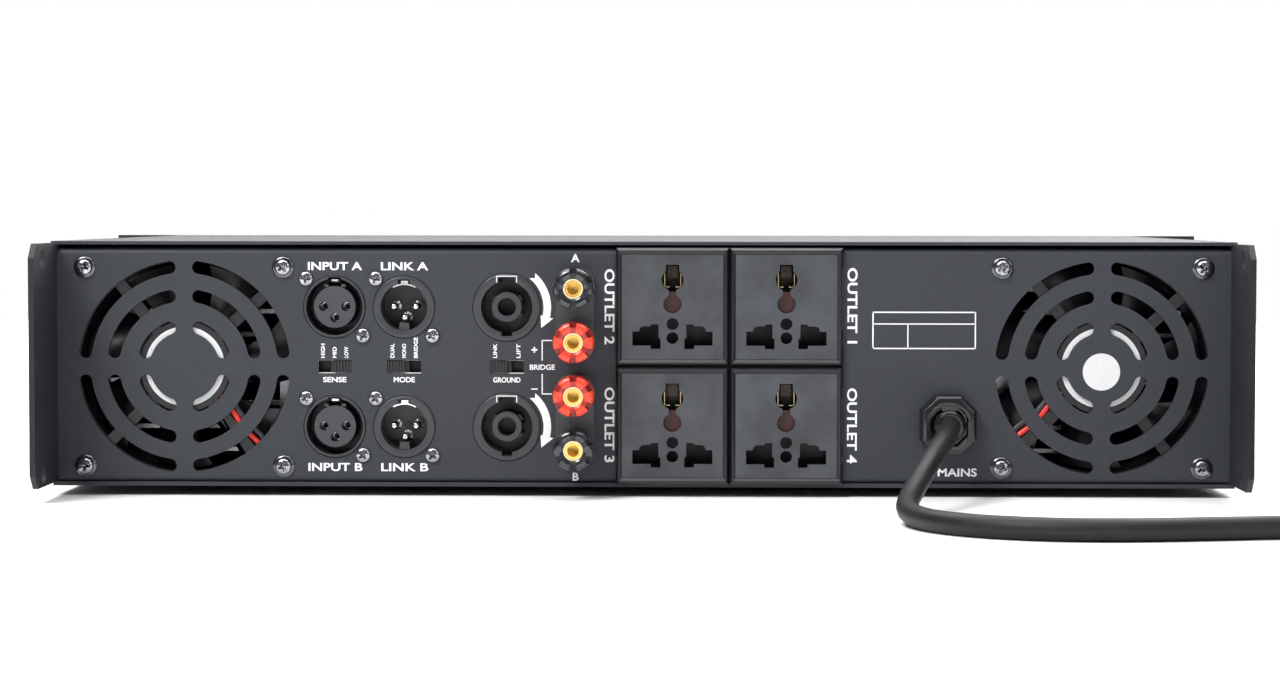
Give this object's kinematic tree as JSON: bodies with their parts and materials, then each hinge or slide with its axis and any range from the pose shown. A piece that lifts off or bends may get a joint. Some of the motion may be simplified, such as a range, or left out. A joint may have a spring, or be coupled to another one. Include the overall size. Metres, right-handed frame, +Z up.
{
  "type": "power amplifier",
  "caption": "Rack-mount power amplifier: flat steel case with fan grilles, line and speaker sockets, binding posts, mains outlets, slide switches, handles and a captive mains cord.",
  "frame": {"origin": "on the surface the feet stand on, under the middle of the body without its cord", "axes": "+X to the right seen from the front, +Y towards the rear connector panel, +Z up"},
  "size_m": [0.5593, 0.4544, 0.0916],
  "materials": {
    "case_paint": "fine textured powder coat, dark grey",
    "front_paint": "satin black paint",
    "screw_steel": "bright plated steel",
    "fan_plastic": "black moulded plastic",
    "socket_plastic": "dark grey moulded plastic",
    "outlet_surround": "black moulded plastic",
    "outlet_face": "grey moulded plastic",
    "shutter_red": "red plastic",
    "post_black": "glossy black plastic",
    "post_red": "translucent red plastic",
    "gold_plate": "gold-plated brass",
    "contact_metal": "plated spring contacts",
    "switch_black": "black plastic",
    "cord_rubber": "black flexible sheath",
    "foot_rubber": "black rubber",
    "core_tape": "wound insulation tape",
    "sink_alloy": "extruded alloy",
    "board_green": "glass-fibre circuit board",
    "can_sleeve": "sleeved can",
    "knob_black": "fluted black knob",
    "lamp_lens": "tinted lens"
  },
  "bodies": {
    "chassis": {"amplifier_board": "board_green", "base_pan": "case_paint", "capacitors": "can_sleeve", "case_screws": "screw_steel", "connector_screws": "screw_steel", "cord_bushing": "cord_rubber", "cord_coil": "cord_rubber", "fan_frame_left": "fan_plastic", "fan_frame_right": "fan_plastic", "fan_screws": "screw_steel", "front_board": "board_green", "front_panel": "front_paint", "handle_left": "front_paint", "handle_right": "front_paint", "heatsinks": "sink_alloy", "led_lenses": "lamp_lens", "mains_cord": "cord_rubber", "mains_plug": "cord_rubber", "outlet_1": "outlet_surround", "outlet_2": "outlet_surround", "outlet_3": "outlet_surround", "outlet_4": "outlet_surround", "outlet_faces": "outlet_face", "post_base_plates": "post_black", "post_studs": "gold_plate", "power_switch": "switch_black", "rear_panel": "case_paint", "rubber_feet": "foot_rubber", "side_plate_left": "case_paint", "side_plate_right": "case_paint", "socket_contacts": "contact_metal", "speaker_socket_a": "socket_plastic", "speaker_socket_b": "socket_plastic", "switch_bodies": "switch_black", "top_cover": "case_paint", "transformer": "core_tape", "xlr_input_a": "socket_plastic", "xlr_input_b": "socket_plastic", "xlr_link_a": "socket_plastic", "xlr_link_b": "socket_plastic"},
    "fan_left": {"fan_rotor_left": "fan_plastic"},
    "fan_right": {"fan_rotor_right": "fan_plastic"},
    "sensitivity_switch": {"sensitivity_slider": "switch_black"},
    "mode_switch": {"mode_slider": "switch_black"},
    "ground_switch": {"ground_slider": "switch_black"},
    "level_a": {"level_knob_a": "knob_black"},
    "level_b": {"level_knob_b": "knob_black"},
    "power_button": {"power_rocker": "switch_black"},
    "post_core_1": {"post_insert_1": "gold_plate"},
    "post_grip_1": {"post_cap_1": "post_black"},
    "shutter_1": {"outlet_shutter_1": "shutter_red"},
    "post_core_2": {"post_insert_2": "gold_plate"},
    "post_grip_2": {"post_cap_2": "post_red"},
    "shutter_2": {"outlet_shutter_2": "shutter_red"},
    "post_core_3": {"post_insert_3": "gold_plate"},
    "post_grip_3": {"post_cap_3": "post_red"},
    "shutter_3": {"outlet_shutter_3": "shutter_red"},
    "post_core_4": {"post_insert_4": "gold_plate"},
    "post_grip_4": {"post_cap_4": "post_black"},
    "shutter_4": {"outlet_shutter_4": "shutter_red"}
  },
  "joints": [
    {"name": "fan_left_spin", "type": "hinge", "parent": "chassis", "child": "fan_left", "pos_m": [0.1645, 0.1205, 0.04655], "axis": [0, 1, 0], "continuous": true},
    {"name": "fan_right_spin", "type": "hinge", "parent": "chassis", "child": "fan_right", "pos_m": [-0.1645, 0.1205, 0.04655], "axis": [0, 1, 0], "continuous": true},
    {"name": "sensitivity_slide", "type": "slide", "parent": "chassis", "child": "sensitivity_switch", "axis": [-1, 0, 0], "range_m": [-0.0059, 0]},
    {"name": "mode_slide", "type": "slide", "parent": "chassis", "child": "mode_switch", "axis": [-1, 0, 0], "range_m": [0, 0.0059]},
    {"name": "ground_slide", "type": "slide", "parent": "chassis", "child": "ground_switch", "axis": [-1, 0, 0], "range_m": [0, 0.0059]},
    {"name": "post_1_travel", "type": "slide", "parent": "chassis", "child": "post_core_1", "axis": [0, 1, 0], "range_m": [0, 0.005]},
    {"name": "post_1_turn", "type": "hinge", "parent": "post_core_1", "child": "post_grip_1", "pos_m": [0.0238, 0.1445, 0.07512], "axis": [0, 1, 0], "range_deg": [0, 1800]},
    {"name": "post_2_travel", "type": "slide", "parent": "chassis", "child": "post_core_2", "axis": [0, 1, 0], "range_m": [0, 0.005]},
    {"name": "post_2_turn", "type": "hinge", "parent": "post_core_2", "child": "post_grip_2", "pos_m": [0.0238, 0.1445, 0.05607], "axis": [0, 1, 0], "range_deg": [0, 1800]},
    {"name": "post_3_travel", "type": "slide", "parent": "chassis", "child": "post_core_3", "axis": [0, 1, 0], "range_m": [0, 0.005]},
    {"name": "post_3_turn", "type": "hinge", "parent": "post_core_3", "child": "post_grip_3", "pos_m": [0.0238, 0.1445, 0.03703], "axis": [0, 1, 0], "range_deg": [0, 1800]},
    {"name": "post_4_travel", "type": "slide", "parent": "chassis", "child": "post_core_4", "axis": [0, 1, 0], "range_m": [0, 0.005]},
    {"name": "post_4_turn", "type": "hinge", "parent": "post_core_4", "child": "post_grip_4", "pos_m": [0.0238, 0.1445, 0.01798], "axis": [0, 1, 0], "range_deg": [0, 1800]},
    {"name": "shutter_1_slide", "type": "slide", "parent": "chassis", "child": "shutter_1", "axis": [0, 0, -1], "range_m": [0, 0.004], "stiffness_N_per_m": 60, "springref_m": -0.001},
    {"name": "shutter_2_slide", "type": "slide", "parent": "chassis", "child": "shutter_2", "axis": [0, 0, -1], "range_m": [0, 0.004], "stiffness_N_per_m": 60, "springref_m": -0.001},
    {"name": "shutter_3_slide", "type": "slide", "parent": "chassis", "child": "shutter_3", "axis": [0, 0, -1], "range_m": [0, 0.004], "stiffness_N_per_m": 60, "springref_m": -0.001},
    {"name": "shutter_4_slide", "type": "slide", "parent": "chassis", "child": "shutter_4", "axis": [0, 0, -1], "range_m": [0, 0.004], "stiffness_N_per_m": 60, "springref_m": -0.001},
    {"name": "level_a_turn", "type": "hinge", "parent": "chassis", "child": "level_a", "pos_m": [-0.045, -0.1505, 0.04755], "axis": [0, 1, 0], "range_deg": [0, 300]},
    {"name": "level_b_turn", "type": "hinge", "parent": "chassis", "child": "level_b", "pos_m": [0.045, -0.1505, 0.04755], "axis": [0, 1, 0], "range_deg": [0, 300]},
    {"name": "power_tilt", "type": "hinge", "parent": "chassis", "child": "power_button", "pos_m": [0, -0.1395, 0.0215], "axis": [1, 0, 0], "range_deg": [0, 16]}
  ],
  "couplings": [
    {"joint": "post_1_travel", "follows": "post_1_turn", "m_per_rad": 0.00015915},
    {"joint": "post_2_travel", "follows": "post_2_turn", "m_per_rad": 0.00015915},
    {"joint": "post_3_travel", "follows": "post_3_turn", "m_per_rad": 0.00015915},
    {"joint": "post_4_travel", "follows": "post_4_turn", "m_per_rad": 0.00015915}
  ]
}
